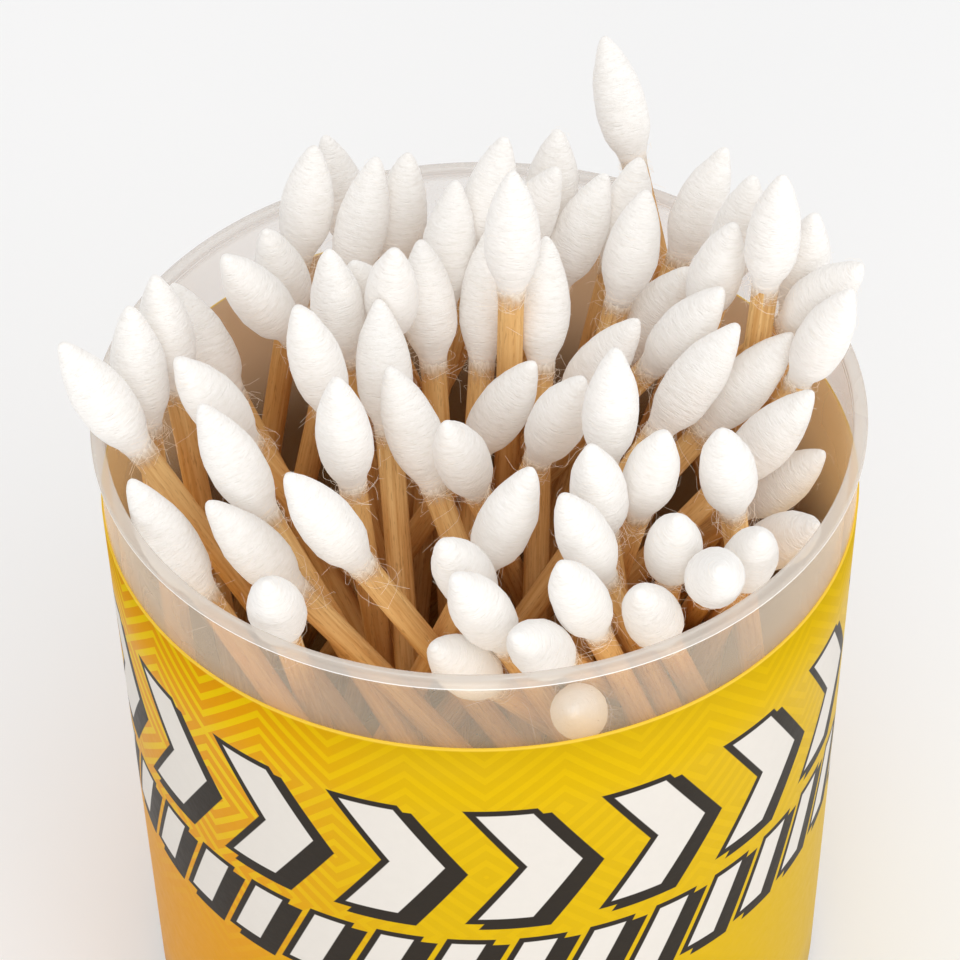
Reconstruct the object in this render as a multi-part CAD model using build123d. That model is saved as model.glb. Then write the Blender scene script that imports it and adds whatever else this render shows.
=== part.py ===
from build123d import *
import math
import os

import numpy as np

# Tub: one thin moulding in clear plastic, straight sided
TUB_HEIGHT = 67.0
RIM_RADIUS = 31.0
LIP_OVERHANG = 0.36
LIP_HEIGHT = 0.6
LIP_EDGE_BEVEL = 0.2
WALL = 0.75
FLOOR = 1.2
BASE_EDGE_BEVEL = 1.1
FLOOR_EDGE_BEVEL = 0.4

# Label: printed film wrapped round the wall, with its seam at the back
LABEL_TOP_DROP = 7.3
LABEL_FOOT_RISE = 3.0
LABEL_FILM = 0.15
LABEL_GLUE = 0.05
LABEL_SEAM = 1.5

# Swab: a wooden stick with a wound cotton tip on each end
SWAB_LENGTH = 76.0
STICK_DIAMETER = 2.15
TIP_LENGTH = 11.2
NECK_DIAMETER = 2.6
BELLY_DIAMETER = 4.2
SHOULDER_DIAMETER = 3.5
NOSE_DIAMETER = 1.0
NECK_TO_BELLY = 3.6
BELLY_TO_SHOULDER = 3.9
SWAB_SIDES = 6
SWAB_CLEARANCE = 0.15

# Viewpoint of the readings below, in front of the rim's centre and above it
VIEW_DISTANCE_IN_RIM_RADII = 7.515
VIEW_ELEVATION_DEGREES = 42.02
VIEW_PITCH_DEGREES = 43.64
VIEW_ROLL_DEGREES = -0.93
VIEW_FOCAL_PX = 2912.0
VIEW_CENTRE_PX = 480.0

# Each swab as it is seen in the tub: pixel of its nose, then pixel of its upper neck
READINGS = {
    "back_left": (
        ((313, 145), (308, 258)), ((338, 138), (332, 240)), ((376, 168), (350, 262)),
        ((271, 238), (287, 305)), ((215, 259), (282, 322)), ((162, 280), (243, 386)),
        ((152, 274), (178, 385)), ((128, 303), (150, 422)), ((57, 350), (138, 442)),
        ((183, 360), (252, 418)),
    ),
    "left_front": (
        ((187, 406), (280, 503)), ((110, 489), (235, 572)), ((187, 497), (318, 588)),
        ((276, 478), (373, 550)), ((265, 582), (290, 630)),
    ),
    "centre_left": (
        ((293, 297), (326, 412)), ((337, 378), (346, 488)), ((316, 247), (348, 352)),
        ((343, 264), (372, 335)), ((384, 284), (379, 432)), ((392, 244), (402, 325)),
        ((426, 252), (432, 368)),
    ),
    "back": (
        ((412, 158), (396, 262)), ((462, 178), (448, 300)), ((490, 228), (486, 358)),
        ((538, 225), (545, 368)), ((505, 141), (482, 235)), ((556, 144), (528, 215)),
        ((550, 188), (520, 270)), ((525, 186), (498, 265)), ((604, 178), (566, 272)),
        ((626, 146), (602, 245)),
    ),
    "back_right": (
        ((602, 37), (639, 160)), ((733, 136), (676, 256)), ((788, 175), (771, 278)),
        ((820, 225), (800, 310)), ((757, 192), (718, 255)), ((662, 204), (612, 282)),
        ((755, 225), (692, 292)),
    ),
    "right": (
        ((701, 273), (606, 326)), ((738, 294), (638, 352)), ((752, 324), (635, 424)),
        ((866, 279), (785, 302)), ((860, 308), (778, 345)), ((806, 343), (697, 413)),
        ((829, 404), (722, 458)), ((832, 457), (742, 508)), ((823, 519), (765, 556)),
    ),
    "centre": (
        ((625, 347), (606, 455)), ((634, 338), (563, 378)), ((588, 447), (603, 527)),
        ((660, 438), (636, 522)), ((712, 425), (736, 520)), ((396, 374), (440, 478)),
        ((457, 412), (466, 500)), ((543, 384), (478, 440)), ((580, 381), (540, 460)),
    ),
    "front_right": (
        ((672, 553), (690, 530)), ((713, 578), (728, 555)), ((768, 545), (728, 545)),
        ((628, 600), (676, 625)), ((552, 493), (613, 572)),
    ),
    "front": (
        ((553, 567), (580, 626)), ((524, 487), (488, 572)), ((440, 548), (485, 580)),
        ((447, 582), (512, 630)), ((440, 648), (516, 655)), ((499, 647), (573, 638)),
        ((567, 708), (575, 695)),
    ),
}

# Settling: the swabs thicken from a thin line to full size while their tops keep to their places
FIRST_RISE = 10.0
FIRST_THICKNESS = 0.35
GROW_STEPS = 200
HOLD_STEPS = 420
MOST_STEPS = 1400
PUSH_GAIN = 1.6
HOLD_GAIN = 0.3
LATE_HOLD_GAIN = 0.12
NECK_HOLD_SHARE = 0.5
SINK_SHARE = 0.2
TOP_EASE = 0.65
SETTLED_DEPTH = 0.03
TIP_STATIONS = 14
STICK_STATIONS = 64
PAIR_REFRESH_STEPS = 8

OUTER_RADIUS = RIM_RADIUS - LIP_OVERHANG
INNER_RADIUS = OUTER_RADIUS - WALL
STICK_RADIUS = STICK_DIAMETER / 2
RING_RISES = (0.0, NECK_TO_BELLY, NECK_TO_BELLY + BELLY_TO_SHOULDER, TIP_LENGTH)
RING_RADII = (NECK_DIAMETER / 2, BELLY_DIAMETER / 2, SHOULDER_DIAMETER / 2, NOSE_DIAMETER / 2)


def bevelled(face, corner, length):
    """A flat section with the corner nearest to a point cut off at an angle."""
    return chamfer(face.vertices().sort_by_distance(corner)[0], length)


def tub():
    """Open round tub: a section turned about the vertical axis."""
    lip_foot = TUB_HEIGHT - LIP_HEIGHT
    base_corner = (OUTER_RADIUS, 0)
    floor_corner = (INNER_RADIUS, FLOOR)
    lip_corner = (RIM_RADIUS, TUB_HEIGHT)
    mouth_corner = (INNER_RADIUS, TUB_HEIGHT)
    section = make_face(
        Polyline(
            (0, 0),
            base_corner,
            (OUTER_RADIUS, lip_foot - LIP_OVERHANG),
            (RIM_RADIUS, lip_foot),
            lip_corner,
            mouth_corner,
            floor_corner,
            (0, FLOOR),
            close=True,
        )
    )
    section = bevelled(section, base_corner, BASE_EDGE_BEVEL)
    section = bevelled(section, floor_corner, FLOOR_EDGE_BEVEL)
    section = bevelled(section, lip_corner, LIP_EDGE_BEVEL)
    section = bevelled(section, mouth_corner, LIP_EDGE_BEVEL)
    return revolve(Plane.XZ * section, Axis.Z)


def label():
    """Film sleeve on the wall, open along a narrow seam at the back."""
    inside = OUTER_RADIUS + LABEL_GLUE
    height = TUB_HEIGHT - LABEL_TOP_DROP - LABEL_FOOT_RISE
    section = Pos(inside, LABEL_FOOT_RISE) * Rectangle(LABEL_FILM, height, align=(Align.MIN, Align.MIN))
    seam_degrees = math.degrees(LABEL_SEAM / inside)
    sleeve = revolve(Plane.XZ * section, Axis.Z, revolution_arc=360 - seam_degrees)
    return Rot(0, 0, 90 + seam_degrees / 2) * sleeve


def stick():
    """Wooden stick between the two necks, standing on the lower one."""
    length = SWAB_LENGTH - 2 * TIP_LENGTH
    return Pos(0, 0, TIP_LENGTH) * extrude(RegularPolygon(STICK_RADIUS, SWAB_SIDES), length)


def upper_tip():
    """Wound cotton tip: neck, belly, shoulder and blunt nose, on top of the stick."""
    neck = SWAB_LENGTH - TIP_LENGTH
    rings = [
        Pos(0, 0, neck + rise) * RegularPolygon(radius, SWAB_SIDES)
        for rise, radius in zip(RING_RISES, RING_RADII)
    ]
    return ConvexPolyhedron([corner.center() for ring in rings for corner in ring.vertices()])


def lower_tip():
    """The same tip turned over at the swab's foot."""
    return Pos(0, 0, SWAB_LENGTH) * Rot(180, 0, 0) * upper_tip()


class Viewpoint:
    """Straight lines of sight through the pixels of the readings."""

    def __init__(self):
        distance = VIEW_DISTANCE_IN_RIM_RADII * RIM_RADIUS
        elevation = math.radians(VIEW_ELEVATION_DEGREES)
        pitch = math.radians(VIEW_PITCH_DEGREES)
        roll = math.radians(VIEW_ROLL_DEGREES)
        level = np.array([1.0, 0.0, 0.0])
        self.eye = np.array(
            [0.0, -distance * math.cos(elevation), TUB_HEIGHT + distance * math.sin(elevation)]
        )
        self.forward = np.array([0.0, math.cos(pitch), -math.sin(pitch)])
        upright = np.cross(level, self.forward)
        self.right = math.cos(roll) * level + math.sin(roll) * upright
        self.up = math.cos(roll) * upright - math.sin(roll) * level

    def lines(self, pixels):
        """Unit directions from the eye through each pixel."""
        across = (pixels[:, :1] - VIEW_CENTRE_PX) / VIEW_FOCAL_PX
        down = (pixels[:, 1:] - VIEW_CENTRE_PX) / VIEW_FOCAL_PX
        lines = self.forward + across * self.right - down * self.up
        return lines / np.linalg.norm(lines, axis=1, keepdims=True)

    def entry(self, lines, radius):
        """How far along each line of sight it enters an upright round tube, or 0 if it misses."""
        across = np.sum(lines[:, :2] ** 2, axis=1)
        along = np.sum(lines[:, :2] * self.eye[:2], axis=1)
        outside = self.eye[0] ** 2 + self.eye[1] ** 2 - radius**2
        meets = np.maximum(along**2 - across * outside, 0)
        return np.where(meets > 0, (-along - np.sqrt(meets)) / across, 0)

    def nearest(self, lines, points):
        """The point on each line of sight that is nearest to each given point."""
        return self.eye + np.sum((points - self.eye) * lines, axis=1, keepdims=True) * lines


class Heap:
    """Rigid swabs, each held by its nose point and its foot point."""

    def __init__(self, view, nose_px, neck_px):
        self.view = view
        self.nose_lines = view.lines(nose_px)
        self.neck_lines = view.lines(neck_px)
        self.count = len(nose_px)
        tip = (np.arange(TIP_STATIONS) + 0.5) / TIP_STATIONS * TIP_LENGTH
        shaft = np.linspace(TIP_LENGTH, SWAB_LENGTH - TIP_LENGTH, STICK_STATIONS)
        self.tip_stations = np.concatenate([tip, SWAB_LENGTH - tip]) / SWAB_LENGTH
        self.stations = np.concatenate([self.tip_stations, shaft / SWAB_LENGTH])
        self.shaft_ends = (TIP_LENGTH / SWAB_LENGTH, 1 - TIP_LENGTH / SWAB_LENGTH)
        self.stand_up(nose_px, neck_px)

    def radius(self, station):
        """Largest radius of a swab at a share of its length, the same from either end."""
        from_end = np.minimum(station, 1 - station) * SWAB_LENGTH
        on_tip = np.interp(TIP_LENGTH - from_end, RING_RISES, RING_RADII)
        return np.where(from_end < TIP_LENGTH, on_tip, STICK_RADIUS)

    def stand_up(self, nose_px, neck_px):
        """First guess: noses level above the rim, each lean from its tip's foreshortening."""
        view = self.view
        level = (TUB_HEIGHT + FIRST_RISE - view.eye[2]) / self.nose_lines[:, 2]
        reach = np.maximum(level, view.entry(self.nose_lines, INNER_RADIUS))
        self.nose = view.eye + reach[:, None] * self.nose_lines
        depth = np.sum((self.nose - view.eye) * view.forward, axis=1, keepdims=True)
        seen = (nose_px - neck_px) * depth / VIEW_FOCAL_PX
        hidden = np.sqrt(np.maximum(TIP_LENGTH**2 - np.sum(seen**2, axis=1), (TIP_LENGTH / 4) ** 2))
        lean = seen[:, :1] * view.right - seen[:, 1:] * view.up - hidden[:, None] * view.forward
        lean /= np.linalg.norm(lean, axis=1, keepdims=True)
        self.foot = self.nose - SWAB_LENGTH * lean
        most = INNER_RADIUS - BELLY_DIAMETER / 2
        for _ in range(GROW_STEPS):
            spread = np.hypot(self.foot[:, 0], self.foot[:, 1])
            self.foot[:, :2] *= np.minimum(1, most / spread)[:, None]
            self.foot[:, 2] = FLOOR + NOSE_DIAMETER / 2
            self.keep_length()

    def keep_length(self):
        """Move both ends of each swab by equal shares so that its length is right."""
        axis = self.nose - self.foot
        length = np.linalg.norm(axis, axis=1, keepdims=True)
        excess = (length - SWAB_LENGTH) / length * axis
        self.nose = self.nose - excess / 2
        self.foot = self.foot + excess / 2

    def near_pairs(self):
        """Pairs of swabs whose axes pass close enough to touch soon."""
        first, second = np.triu_indices(self.count, 1)
        _, _, offset = self.closest(self.foot, self.nose - self.foot, first, second)
        close = np.linalg.norm(offset, axis=1) < 1.5 * BELLY_DIAMETER
        return first[close], second[close]

    def closest(self, start, run, first, second):
        """Shares along two straight runs where they pass closest, and the offset there."""
        between = start[first] - start[second]
        run_one, run_two = run[first], run[second]
        one_one = np.sum(run_one * run_one, axis=1)
        two_two = np.sum(run_two * run_two, axis=1)
        one_two = np.sum(run_one * run_two, axis=1)
        one_off = np.sum(run_one * between, axis=1)
        two_off = np.sum(run_two * between, axis=1)
        skew = np.maximum(one_one * two_two - one_two**2, 1e-9)
        share_one = np.clip((one_two * two_off - two_two * one_off) / skew, 0, 1)
        share_two = np.clip((one_two * share_one + two_off) / two_two, 0, 1)
        share_one = np.clip((one_two * share_two - one_off) / one_one, 0, 1)
        offset = between + share_one[:, None] * run_one - share_two[:, None] * run_two
        return share_one, share_two, offset

    def push(self, swab, station, depth, direction):
        """Note a push on swabs at stations along them, shared between nose and foot."""
        top, bottom = TOP_EASE * station, 1 - station
        lever = PUSH_GAIN * depth / (top * station + bottom**2)
        np.add.at(self.nose_push, swab, (lever * top)[:, None] * direction)
        np.add.at(self.foot_push, swab, (lever * bottom)[:, None] * direction)
        np.add.at(self.touches, swab, 1)
        self.deepest = max(self.deepest, depth.max(initial=0.0))

    def push_pair(self, one, station_one, two, station_two, depth, offset):
        """Push two swabs apart by equal shares along the offset between them."""
        direction = offset / np.maximum(np.linalg.norm(offset, axis=1), 1e-9)[:, None]
        self.push(one, station_one, depth / 2, direction)
        self.push(two, station_two, depth / 2, -direction)

    def part_tips(self, one, two, thickness):
        """Keep the tips of one swab clear of the whole of another."""
        axis = self.nose - self.foot
        points = self.foot[one][:, None] + self.tip_stations[None, :, None] * axis[one][:, None]
        from_foot = points - self.foot[two][:, None]
        share = np.clip(np.sum(from_foot * axis[two][:, None], axis=2) / SWAB_LENGTH**2, 0, 1)
        offset = from_foot - share[..., None] * axis[two][:, None]
        room = thickness * (self.radius(self.tip_stations) + self.radius(share) + SWAB_CLEARANCE)
        depth = room - np.linalg.norm(offset, axis=2)
        pair, place = np.nonzero(depth > 0)
        self.push_pair(
            one[pair],
            self.tip_stations[place],
            two[pair],
            share[pair, place],
            depth[pair, place],
            offset[pair, place],
        )

    def part_sticks(self, one, two, thickness):
        """Keep the sticks of two swabs clear of each other."""
        low, high = self.shaft_ends
        axis = self.nose - self.foot
        share_one, share_two, offset = self.closest(
            self.foot + low * axis, (high - low) * axis, one, two
        )
        depth = thickness * (STICK_DIAMETER + SWAB_CLEARANCE) - np.linalg.norm(offset, axis=1)
        hit = depth > 0
        self.push_pair(
            one[hit],
            low + (high - low) * share_one[hit],
            two[hit],
            low + (high - low) * share_two[hit],
            depth[hit],
            offset[hit],
        )

    def part_from_tub(self, thickness):
        """Keep every swab inside the wall, over the lip's inner edge and on the floor."""
        axis = self.nose - self.foot
        points = self.foot[:, None] + self.stations[None, :, None] * axis[:, None]
        room = thickness * (self.radius(self.stations) + SWAB_CLEARANCE)
        height = points[..., 2]
        spread = np.maximum(np.hypot(points[..., 0], points[..., 1]), 1e-9)
        inward = np.zeros_like(points)
        inward[..., :2] = -points[..., :2] / spread[..., None]
        upward = np.array([0.0, 0.0, 1.0])

        rise = np.maximum(height - TUB_HEIGHT, 0)
        side = INNER_RADIUS - spread
        over_lip = np.hypot(np.maximum(side, 0), rise)
        from_lip = np.maximum(side, 0)[..., None] * inward + rise[..., None] * upward
        from_lip = from_lip / np.maximum(over_lip, 1e-9)[..., None]
        below = height < TUB_HEIGHT
        depth = room - np.where(below, side, over_lip)
        climb = room + TUB_HEIGHT - height
        lifted = below & (climb < depth)
        depth = np.where(lifted, climb, depth)
        away = np.where(below[..., None], inward, from_lip)
        away = np.where(lifted[..., None], upward, away)
        swab, place = np.nonzero(depth > 0)
        self.push(swab, self.stations[place], depth[swab, place], away[swab, place])

        depth = FLOOR + room - height
        swab, place = np.nonzero(depth > 0)
        self.push(swab, self.stations[place], depth[swab, place], upward)

    def hold(self, gain):
        """Draw each nose and neck to its line of sight, and let the foot sink."""
        station = 1 - TIP_LENGTH / SWAB_LENGTH
        self.nose = self.nose + gain * (self.view.nearest(self.nose_lines, self.nose) - self.nose)
        neck = self.foot + station * (self.nose - self.foot)
        pull = self.view.nearest(self.neck_lines, neck) - neck
        pull *= NECK_HOLD_SHARE * gain / (station**2 + (1 - station) ** 2)
        self.nose = self.nose + station * pull
        self.foot = self.foot + (1 - station) * pull
        self.foot[:, 2] -= SINK_SHARE * gain

    def settle(self):
        """Thicken the swabs to full size, pushing apart all that touch, until none overlap."""
        for step in range(MOST_STEPS):
            if step % PAIR_REFRESH_STEPS == 0:
                one, two = self.near_pairs()
            grown = min(1, step / GROW_STEPS)
            thickness = FIRST_THICKNESS + (1 - FIRST_THICKNESS) * grown
            self.nose_push = np.zeros((self.count, 3))
            self.foot_push = np.zeros((self.count, 3))
            self.touches = np.ones(self.count)
            self.deepest = 0.0
            self.part_tips(one, two, thickness)
            self.part_tips(two, one, thickness)
            self.part_sticks(one, two, thickness)
            self.part_from_tub(thickness)
            held = step < GROW_STEPS + HOLD_STEPS
            if not held and self.deepest < SETTLED_DEPTH:
                return
            self.nose = self.nose + self.nose_push / np.sqrt(self.touches)[:, None]
            self.foot = self.foot + self.foot_push / np.sqrt(self.touches)[:, None]
            if held:
                self.hold(HOLD_GAIN if grown < 1 else LATE_HOLD_GAIN)
            self.keep_length()
            self.keep_length()

    def places(self):
        """Where each swab stands: its foot, with its own axis towards its nose."""
        return [
            Plane(origin=tuple(foot), z_dir=tuple(nose - foot)).location
            for nose, foot in zip(self.nose, self.foot)
        ]


def swab_places():
    """Places of all the swabs after settling, by the region of the tub they stand in."""
    readings = [reading for region in READINGS.values() for reading in region]
    pixels = np.array(readings, dtype=float)
    heap = Heap(Viewpoint(), pixels[:, 0], pixels[:, 1])
    heap.settle()
    places = iter(heap.places())
    return {name: [next(places) for _ in region] for name, region in READINGS.items()}


def main():
    """Write the tub, its label and each region's sticks and tips."""
    os.makedirs("parts", exist_ok=True)
    export_step(tub(), "parts/tub.step")
    export_step(label(), "parts/label.step")
    pieces = {"sticks": stick(), "upper_tips": upper_tip(), "lower_tips": lower_tip()}
    for region, places in swab_places().items():
        for name, piece in pieces.items():
            group = Compound(children=[place * piece for place in places])
            export_step(group, f"parts/{name}_{region}.step")


if __name__ == "__main__":
    main()
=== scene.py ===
"""Looks of an open round tub of wooden cotton swabs with a printed wrap label."""

from __future__ import annotations

import logging
import math
import random
from dataclasses import dataclass
from enum import Enum
from typing import Any, Iterable, Optional, Sequence, Union

import bmesh
import bpy
from mathutils import Matrix, Vector, noise


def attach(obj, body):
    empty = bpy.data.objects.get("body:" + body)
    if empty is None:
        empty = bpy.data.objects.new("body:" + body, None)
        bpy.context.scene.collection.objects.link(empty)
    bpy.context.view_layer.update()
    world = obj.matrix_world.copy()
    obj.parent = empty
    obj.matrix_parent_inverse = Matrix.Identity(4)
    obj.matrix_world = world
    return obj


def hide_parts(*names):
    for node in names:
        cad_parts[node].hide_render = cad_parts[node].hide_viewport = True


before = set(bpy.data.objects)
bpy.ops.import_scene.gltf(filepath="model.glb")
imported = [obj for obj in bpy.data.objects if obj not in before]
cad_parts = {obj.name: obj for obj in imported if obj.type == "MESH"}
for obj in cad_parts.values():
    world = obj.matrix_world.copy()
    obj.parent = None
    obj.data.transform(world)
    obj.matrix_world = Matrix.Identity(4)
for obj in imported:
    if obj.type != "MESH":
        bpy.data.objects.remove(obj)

MM = 0.001
BODY = "root"
SWAB_ATTRIBUTE = "swab_place"
ALONG_ATTRIBUTE = "from_neck"
RIM_HEIGHT = 67 * MM
END_REACH = 6 * MM  # a stick's end ring lies this near to its lowest corner
SAME_PLACE = 1e-6  # metres
MERGE_DISTANCE = 1e-7  # metres
ROUND_PROFILE = 0.5
NOISE_MIDDLE = 0.5
FULL_TURN = 2 * math.pi
log = logging.getLogger("swab_tub")

Colour = tuple[float, float, float, float]
Span = tuple[float, float]
Triple = tuple[float, float, float]
Term = Union["Signal", float, int]


class Slot(Enum):
    """The record's material slots."""

    PLASTIC = "clear_plastic"
    LABEL = "label_film"
    WOOD = "wood"
    COTTON = "cotton"


def tone(red: int, green: int, blue: int) -> Colour:
    """Linear colour, by the sRGB curve, of a tone given as it is seen on a screen.

    Args:
        red: Red share from 0 to 255.
        green: Green share from 0 to 255.
        blue: Blue share from 0 to 255.

    Returns:
        The colour with full opacity.
    """
    shares = [share / 255 for share in (red, green, blue)]
    linear = [s / 12.92 if s < 0.04045 else ((s + 0.055) / 1.055) ** 2.4 for s in shares]
    return (linear[0], linear[1], linear[2], 1.0)


class Signal:
    """A shader value that takes part in Python expressions."""

    def __init__(self, graph: "Graph", socket: Optional[bpy.types.NodeSocket]) -> None:
        """Wrap one output socket of a graph."""
        self.graph = graph
        self.socket = socket

    def math(self, operation: str, *terms: Term) -> "Signal":
        """Result of a Math node on some terms.

        Args:
            operation: The Math node's operation.
            terms: Its inputs in order.

        Returns:
            The node's value.
        """
        return self.graph.node("ShaderNodeMath", {"operation": operation}, dict(enumerate(terms)))

    def __add__(self, other: Term) -> "Signal":
        """Sum."""
        return self.math("ADD", self, other)

    def __radd__(self, other: Term) -> "Signal":
        """Sum with a number on the left."""
        return self.math("ADD", other, self)

    def __sub__(self, other: Term) -> "Signal":
        """Difference."""
        return self.math("SUBTRACT", self, other)

    def __rsub__(self, other: Term) -> "Signal":
        """Difference from a number on the left."""
        return self.math("SUBTRACT", other, self)

    def __mul__(self, other: Term) -> "Signal":
        """Product."""
        return self.math("MULTIPLY", self, other)

    def __rmul__(self, other: Term) -> "Signal":
        """Product with a number on the left."""
        return self.math("MULTIPLY", other, self)

    def __truediv__(self, other: Term) -> "Signal":
        """Quotient."""
        return self.math("DIVIDE", self, other)

    def __mod__(self, other: Term) -> "Signal":
        """Remainder that is never negative."""
        return self.math("FLOORED_MODULO", self, other)

    def __pow__(self, other: Term) -> "Signal":
        """Power."""
        return self.math("POWER", self, other)

    def __abs__(self) -> "Signal":
        """Size without sign."""
        return self.math("ABSOLUTE", self)

    def root(self) -> "Signal":
        """Square root."""
        return self.math("SQRT", self)

    def larger(self, other: Term) -> "Signal":
        """The larger of two values."""
        return self.math("MAXIMUM", self, other)

    def smaller(self, other: Term) -> "Signal":
        """The smaller of two values."""
        return self.math("MINIMUM", self, other)

    def ramp(self, start: float, end: float) -> "Signal":
        """Smooth change from 0 at a start value to 1 at an end value.

        Args:
            start: Value that gives 0.
            end: Value that gives 1, larger or smaller than the start.

        Returns:
            The eased share.
        """
        settings = {"interpolation_type": "SMOOTHSTEP"}
        if start < end:
            return self.graph.node("ShaderNodeMapRange", settings, {0: self, 1: start, 2: end})
        return 1 - self.graph.node("ShaderNodeMapRange", settings, {0: self, 1: end, 2: start})


@dataclass(frozen=True)
class Grain:
    """Settings of one noise: spots for each unit, finer layers, their strength and its stretch."""

    scale: float = 1.0
    detail: float = 2.0
    rough: float = 0.55
    stretch: Optional[Triple] = None


class Graph:
    """The node tree of one material."""

    def __init__(self, name: str) -> None:
        """Start a material with an empty tree."""
        self.material = bpy.data.materials.new(name)
        self.material.use_nodes = True
        self.material.cycles.emission_sampling = "NONE"
        self.tree = self.material.node_tree
        self.tree.nodes.clear()

    def node(
        self, kind: str, settings: dict[str, Any], inputs: dict[Any, Any], output: Any = 0
    ) -> Signal:
        """Add a node.

        Args:
            kind: The node's type name.
            settings: Properties of the node, set before its inputs.
            inputs: Values or signals by input name or number.
            output: Name or number of the output that is wanted.

        Returns:
            That output as a signal, with no socket where the node has no outputs.
        """
        node = self.tree.nodes.new(kind)
        for name, value in settings.items():
            setattr(node, name, value)
        for key, value in inputs.items():
            if isinstance(value, Signal):
                self.tree.links.new(value.socket, node.inputs[key])
            else:
                node.inputs[key].default_value = value
        return Signal(self, node.outputs[output] if node.outputs else None)

    def attribute(self, name: str, output: str) -> Signal:
        """A named attribute of the mesh."""
        return self.node("ShaderNodeAttribute", {"attribute_name": name}, {}, output)

    def place(self) -> Signal:
        """Object coordinates in metres."""
        return self.node("ShaderNodeTexCoord", {}, {}, "Object")

    def unwrapped(self) -> Signal:
        """The piece's own UV map."""
        return self.node("ShaderNodeUVMap", {}, {}, "UV")

    def parts(self, vector: Signal) -> tuple[Signal, Signal, Signal]:
        """The three parts of a vector."""
        split = self.node("ShaderNodeSeparateXYZ", {}, {0: vector}).socket.node
        return tuple(Signal(self, split.outputs[i]) for i in range(3))

    def grain(self, vector: Signal, kind: Grain) -> Signal:
        """Noise over a vector.

        Args:
            vector: Where the noise is read.
            kind: The noise's settings.

        Returns:
            Values around one half.
        """
        if kind.stretch:
            factors = {0: vector, 1: kind.stretch}
            vector = self.node("ShaderNodeVectorMath", {"operation": "MULTIPLY"}, factors)
        layers = {"Scale": kind.scale, "Detail": kind.detail, "Roughness": kind.rough}
        return self.node("ShaderNodeTexNoise", {}, {"Vector": vector, **layers})

    @staticmethod
    def varied(span: Span, share: Signal) -> Signal:
        """A least value with an added amount that follows a share."""
        return span[0] + span[1] * share

    def blend(self, share: Term, first: Any, second: Any) -> Signal:
        """Colour between two colours by a share."""
        settings = {"data_type": "RGBA", "clamp_factor": True}
        return self.node("ShaderNodeMix", settings, {0: share, 6: first, 7: second}, 2)

    def bump(self, height: Signal, relief: Span) -> Signal:
        """Surface normal that follows a height, by a depth in metres and a strength."""
        inputs = {"Strength": relief[1], "Distance": relief[0], "Height": height}
        return self.node("ShaderNodeBump", {}, inputs, "Normal")

    def close(self, **inputs: Any) -> bpy.types.Material:
        """Finish the material with one surface shader.

        Args:
            inputs: Values or signals of the shader, with underscores for spaces.

        Returns:
            The material.
        """
        named = {name.replace("_", " "): value for name, value in inputs.items()}
        surface = self.node("ShaderNodeBsdfPrincipled", {}, named)
        self.node("ShaderNodeOutputMaterial", {}, {"Surface": surface})
        return self.material


@dataclass(frozen=True)
class MilkyPlastic:
    """Thin clear plastic, milkier where its lip and base are thick, with a painted highlight line
    on the lip and painted shade in the well inside the base; lengths in metres.
    """

    lip: Colour = tone(220, 210, 199)
    # painted highlight: the bright line round the lip's lower edge
    line: Colour = tone(252, 249, 245)
    haze: Colour = tone(243, 224, 199)
    base: Colour = tone(206, 192, 177)
    # painted shade: dark brown for the inside floor deep among the sticks
    well_shade: Colour = tone(96, 66, 36)
    well_radius: float = 30.2 * MM
    well_soft: float = 0.1 * MM
    base_edge: Span = (6 * MM, 3 * MM)
    lip_start: float = 65.7 * MM
    lip_full: float = 66.4 * MM
    line_width: float = 0.16 * MM
    highlight_core: float = 0.4
    back_edge: Span = (-10 * MM, 20 * MM)
    wall_haze: float = 0.095
    lip_haze: float = 0.6
    back_lip_haze: float = 0.36
    highlight_haze: float = 0.92
    back_highlight_haze: float = 0.5
    edge_haze: float = 0.5
    cloud_haze: float = 0.06
    speck_haze: float = 0.35
    base_haze: float = 0.9
    cloud: Grain = Grain(90)
    specks: Grain = Grain(4200, 1)
    speck_edge: Span = (0.755, 0.78)
    rough: Span = (0.16, 0.2)
    refraction: float = 1.49

    def material(self) -> bpy.types.Material:
        """Build the plastic."""
        graph = Graph("milky_plastic")
        cloud = graph.grain(graph.place(), self.cloud)
        specks = graph.grain(graph.place(), self.specks).ramp(*self.speck_edge)
        across, depth, height = graph.parts(graph.place())
        radius = (across * across + depth * depth).root()
        inside = radius.ramp(self.well_radius + self.well_soft, self.well_radius)
        facing = graph.node("ShaderNodeLayerWeight", {}, {}, "Facing")
        behind = depth.ramp(*self.back_edge)
        lip = height.ramp(self.lip_start, self.lip_full)
        # painted highlight line at the lip's lower edge, fainter towards the back
        line = abs(height - self.lip_full).ramp(self.line_width, self.highlight_core * self.line_width)
        base = height.ramp(*self.base_edge)
        lip_haze = self.lip_haze + (self.back_lip_haze - self.lip_haze) * behind
        highlight_haze = self.highlight_haze + (self.back_highlight_haze - self.highlight_haze) * behind
        haze = self.wall_haze + (lip_haze - self.wall_haze) * lip
        haze = haze + self.cloud_haze * (cloud - NOISE_MIDDLE)
        haze = haze + self.edge_haze * facing**2 * (1 - lip)
        haze = haze.larger(self.speck_haze * specks).larger(highlight_haze * line)
        # painted shade on the well inside the base
        foot = graph.blend(inside, self.base, self.well_shade)
        clear = graph.blend(base, graph.blend(lip, self.haze, self.lip), foot)
        return graph.close(
            Base_Color=graph.blend(line, clear, self.line),
            Roughness=graph.varied(self.rough, cloud),
            IOR=self.refraction,
            Alpha=haze.larger(self.base_haze * base),
        )


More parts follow.
